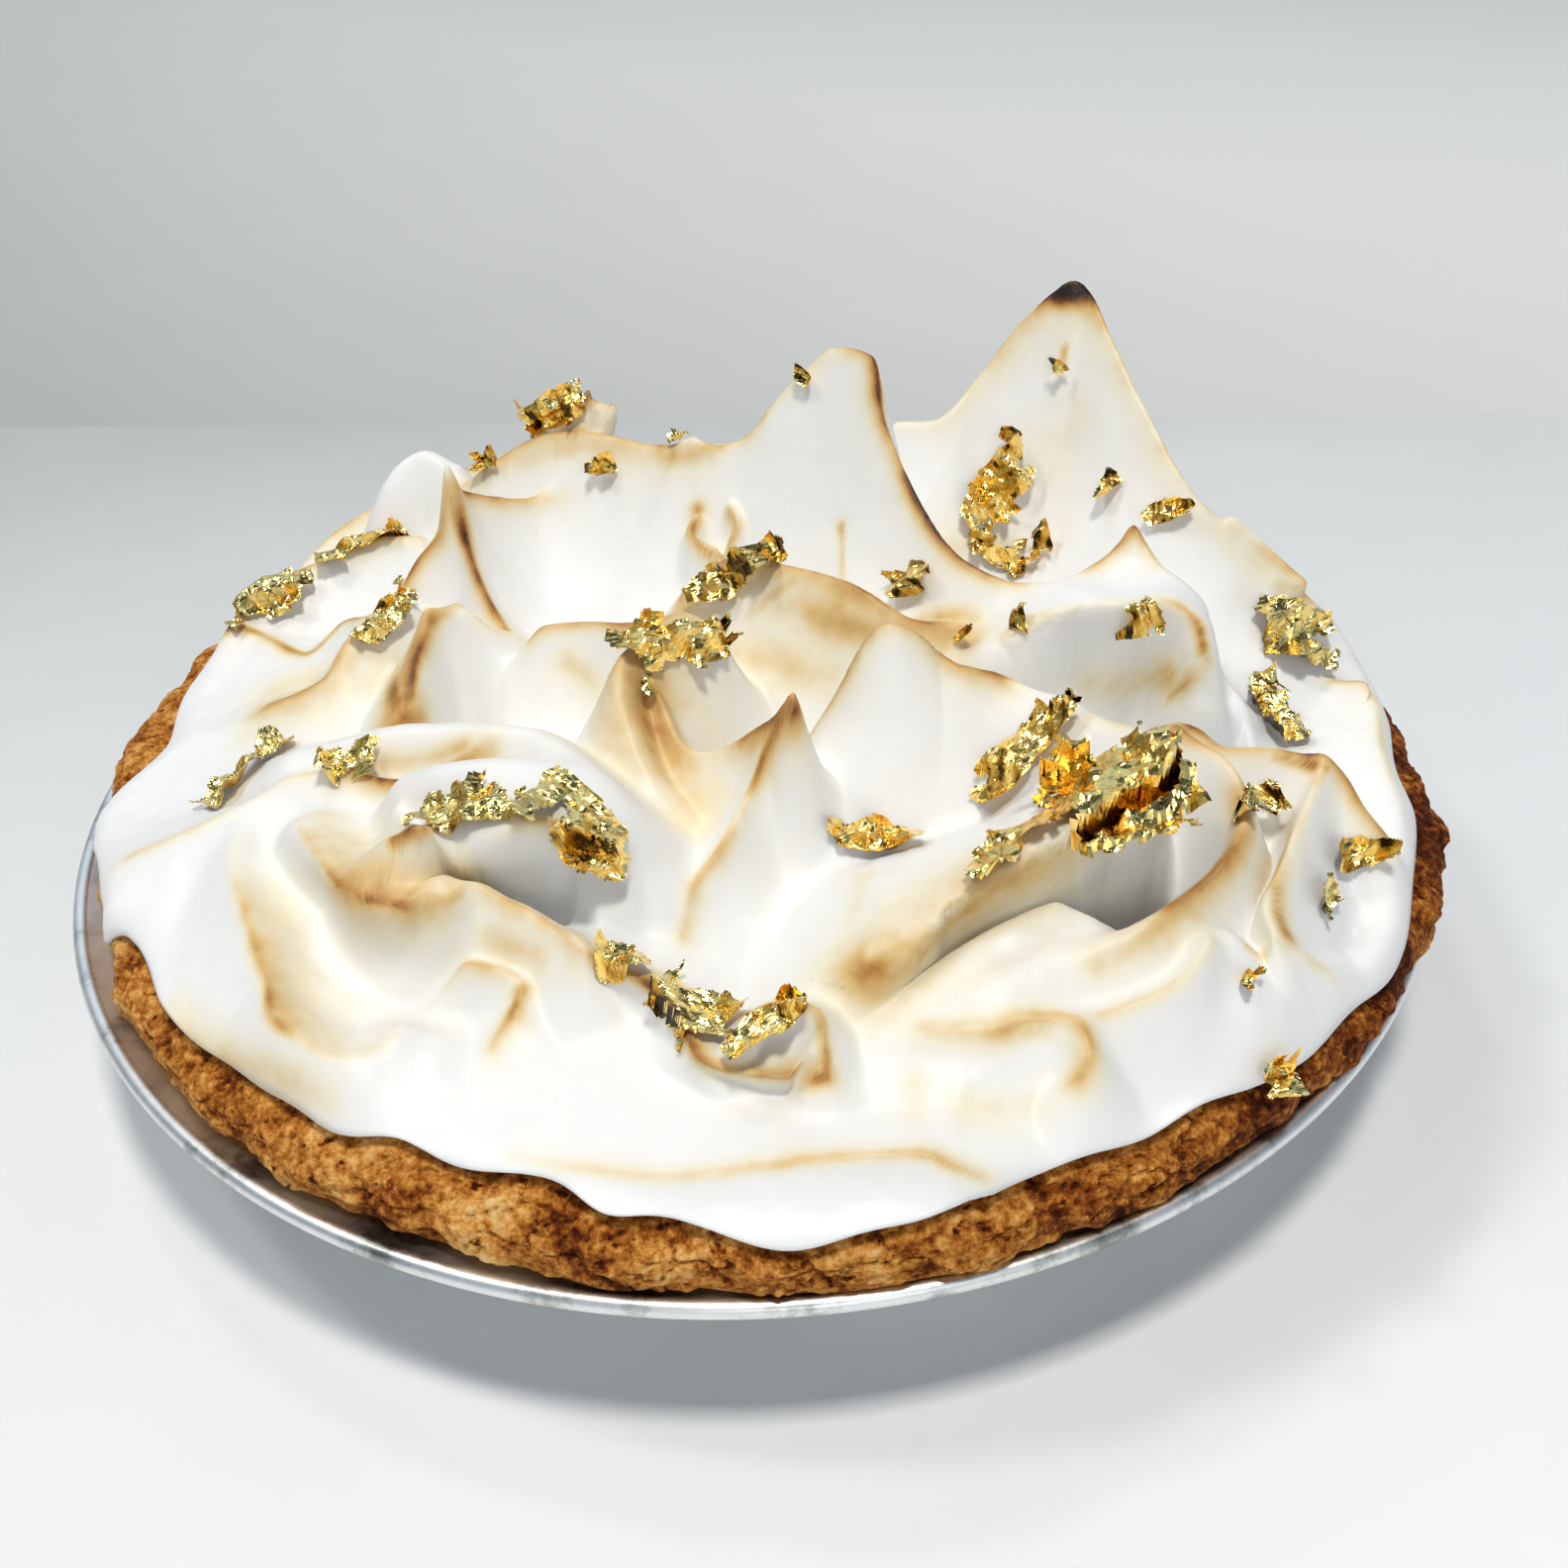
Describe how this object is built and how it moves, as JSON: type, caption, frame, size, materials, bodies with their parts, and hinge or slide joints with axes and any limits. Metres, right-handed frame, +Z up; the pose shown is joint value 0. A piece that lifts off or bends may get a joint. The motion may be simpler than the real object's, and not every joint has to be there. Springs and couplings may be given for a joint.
{
  "type": "citrus meringue pie",
  "caption": "Round citrus meringue pie in a thin metal pie tin, with tall torched meringue peaks and crumpled gold leaf on top",
  "frame": {"origin": "middle of the flat underside of the tin", "axes": "+Z up out of the pie, -Y towards the side that faces the viewer, +X to the viewer's right"},
  "size_m": [0.242, 0.242, 0.1055],
  "materials": {
    "tin": "satin",
    "crust": "matte",
    "meringue": "satin",
    "gold": "polished"
  },
  "bodies": {
    "root": {"tin": "tin", "crust": "crust", "meringue": "meringue", "gold_leaf_01": "gold", "gold_leaf_02": "gold", "gold_leaf_03": "gold", "gold_leaf_04": "gold", "gold_leaf_05": "gold", "gold_leaf_06": "gold", "gold_leaf_07": "gold", "gold_leaf_08": "gold", "gold_leaf_09": "gold", "gold_leaf_10": "gold", "gold_leaf_11": "gold", "gold_leaf_12": "gold", "gold_leaf_13": "gold", "gold_leaf_14": "gold", "gold_leaf_15": "gold", "gold_leaf_16": "gold", "gold_leaf_17": "gold", "gold_leaf_18": "gold", "gold_leaf_19": "gold", "gold_leaf_20": "gold", "gold_leaf_21": "gold", "gold_leaf_22": "gold", "gold_leaf_23": "gold", "gold_leaf_24": "gold", "gold_leaf_25": "gold", "gold_leaf_26": "gold", "gold_leaf_27": "gold"}
  },
  "joints": []
}
